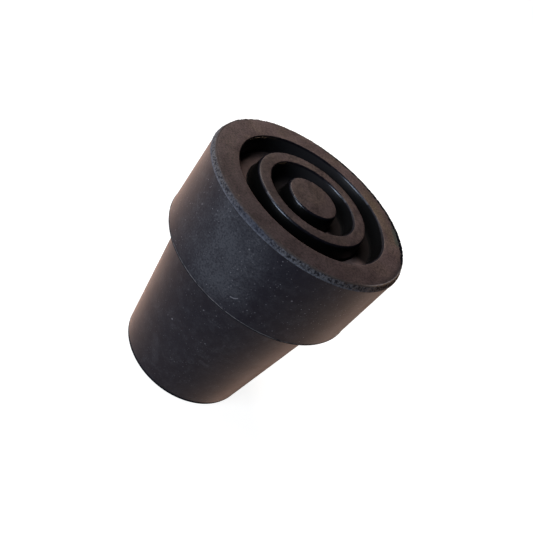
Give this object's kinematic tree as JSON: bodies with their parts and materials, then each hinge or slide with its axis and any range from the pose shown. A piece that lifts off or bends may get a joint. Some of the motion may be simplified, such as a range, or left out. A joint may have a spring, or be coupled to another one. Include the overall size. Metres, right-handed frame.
{
  "type": "rubber cane tip",
  "caption": "Moulded rubber cane tip: a wide round head with a ringed tread, stepped down to a tapered sleeve with a blind socket that grips a cane's shaft.",
  "frame": {"origin": "centre of the socket's mouth, in the plane of the sleeve's rim: the middle of the underside when the tip stands on its sleeve", "axes": "+Z along the tip's axis, from the socket's mouth towards the ringed tread; X and Y are free, as the tip is round. In use it is the other way up, with the tread on the ground and the cane's shaft coming from -Z"},
  "size_m": [0.04, 0.04, 0.0459],
  "materials": {
    "black_rubber": "matte moulded rubber, brownish black, with a thin bluish bloom on the sides"
  },
  "bodies": {
    "root": {"cane_tip": "black_rubber"}
  },
  "joints": []
}
